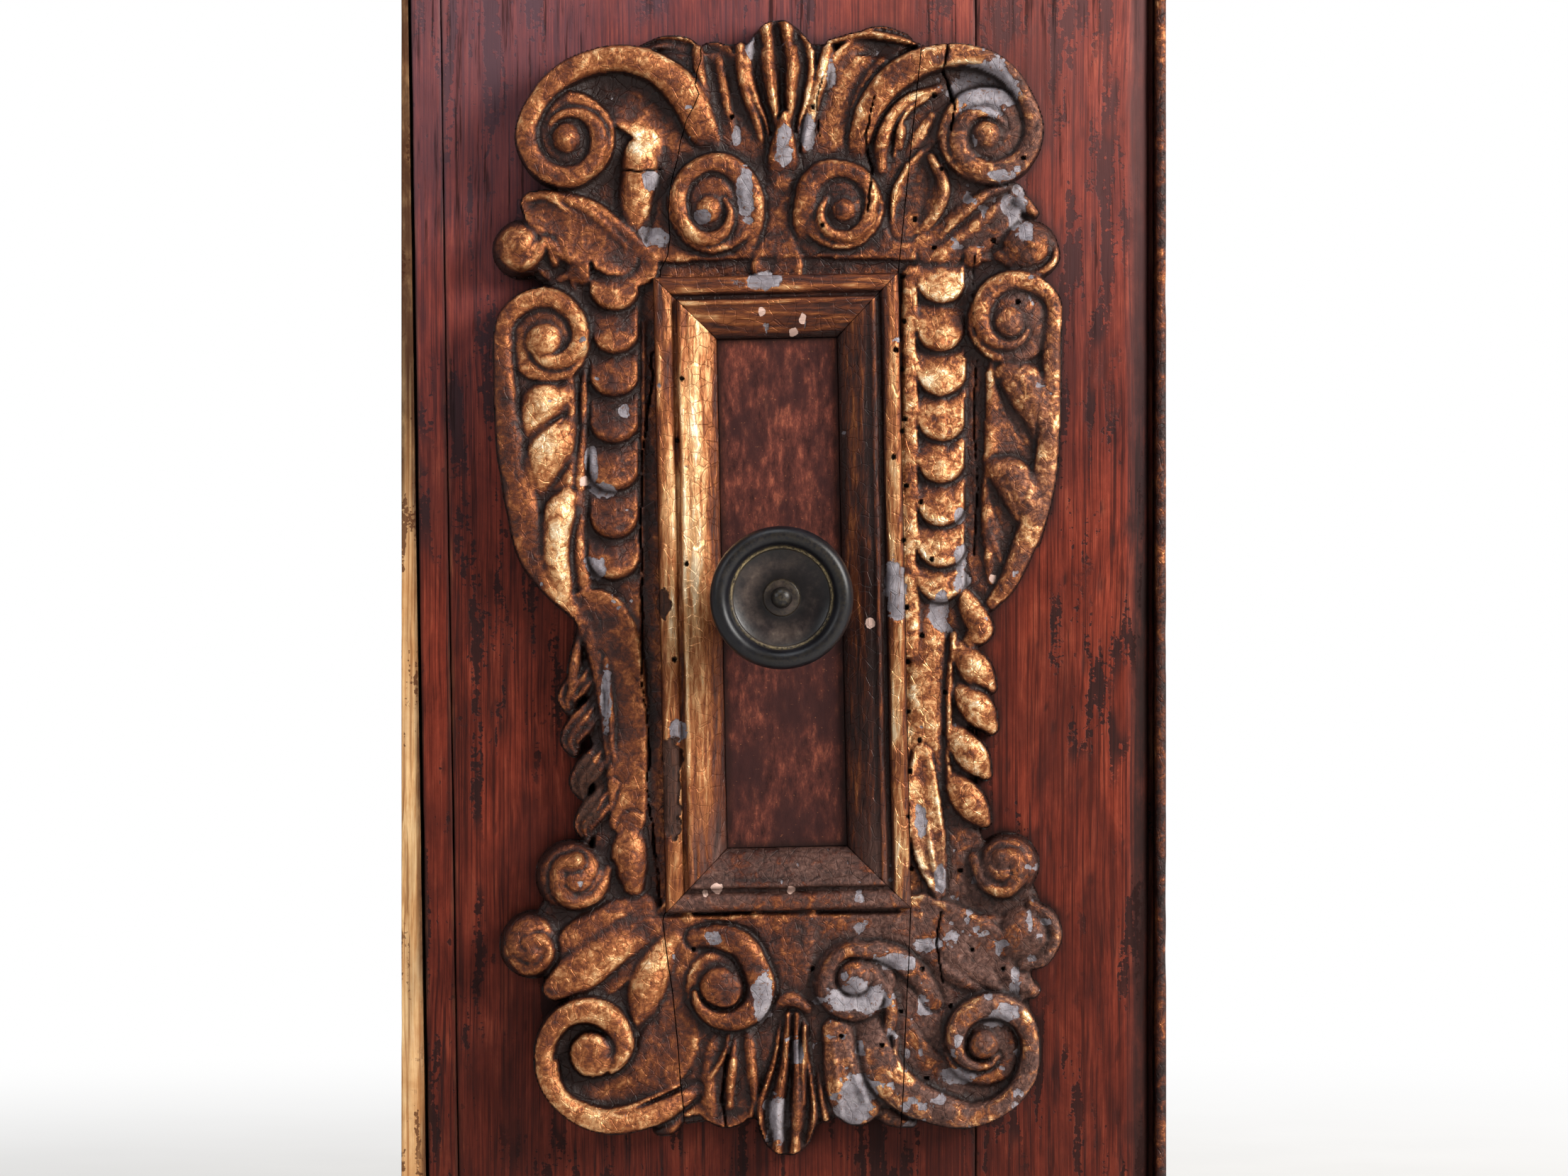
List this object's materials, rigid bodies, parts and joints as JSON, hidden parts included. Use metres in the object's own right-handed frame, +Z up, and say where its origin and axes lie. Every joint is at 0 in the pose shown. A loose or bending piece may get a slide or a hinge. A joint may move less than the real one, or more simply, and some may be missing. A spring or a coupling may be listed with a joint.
{
  "type": "carved credenza",
  "caption": "Narrow cupboard credenza with a pivoting plank door, a carved and gilded scroll cartouche round a painted panel, and a round knob that turns an inside latch bar.",
  "frame": {"origin": "centre of the bounding box's bottom face, on the floor", "axes": "+Z up, the front with the door faces -Y, +X to the right seen from the front"},
  "size_m": [0.368, 0.37, 0.8193],
  "materials": {
    "stained_softwood": "red-brown stained softwood under worn varnish",
    "inner_softwood": "unpolished aged softwood",
    "raw_softwood": "bare pale softwood",
    "giltwood": "worn gilding over gesso on carved wood",
    "painted_wood": "dark red-brown paint, rubbed",
    "dark_bronze": "dark patinated bronze",
    "wrought_iron": "dark forged iron"
  },
  "bodies": {
    "carcass": {"side_left": "stained_softwood", "side_right": "stained_softwood", "front_sill": "stained_softwood", "front_head": "stained_softwood", "top_slab": "stained_softwood", "cornice_front": "stained_softwood", "cornice_left": "stained_softwood", "cornice_right": "stained_softwood", "plinth_front": "stained_softwood", "plinth_left": "stained_softwood", "plinth_right": "stained_softwood", "foot_front_left": "stained_softwood", "foot_front_right": "stained_softwood", "foot_back_left": "stained_softwood", "foot_back_right": "stained_softwood", "bottom_board": "inner_softwood", "sub_top": "inner_softwood", "back_plank_left": "inner_softwood", "back_plank_middle": "inner_softwood", "back_plank_right": "inner_softwood", "shelf": "inner_softwood", "shelf_cleat_left": "inner_softwood", "shelf_cleat_right": "inner_softwood", "corner_slip_left": "raw_softwood", "corner_bead_right": "giltwood", "latch_keeper": "wrought_iron", "pivot_pin_lower": "wrought_iron", "pivot_pin_upper": "wrought_iron", "pivot_washer": "wrought_iron"},
    "door": {"door_edge_strip": "stained_softwood", "door_plank_wide": "stained_softwood", "door_plank_hinge": "stained_softwood", "door_batten_upper": "inner_softwood", "door_batten_lower": "inner_softwood", "carving_crest": "giltwood", "carving_apron": "giltwood", "carving_left": "giltwood", "carving_right": "giltwood", "frame_top": "giltwood", "frame_bottom": "giltwood", "frame_left": "giltwood", "frame_right": "giltwood", "painted_panel": "painted_wood"},
    "knob": {"knob_cup": "dark_bronze", "knob_stud": "dark_bronze", "knob_spindle": "wrought_iron", "latch_bar": "wrought_iron", "latch_sleeve": "wrought_iron", "latch_nut": "wrought_iron"}
  },
  "joints": [
    {"name": "door_swing", "type": "hinge", "parent": "carcass", "child": "door", "pos_m": [0.145, -0.125, 0.1325], "axis": [0, 0, 1], "range_deg": [0, 95]},
    {"name": "knob_turn", "type": "hinge", "parent": "door", "child": "knob", "pos_m": [-0.001, -0.135, 0.4385], "axis": [0, 1, 0], "range_deg": [0, 90]}
  ]
}
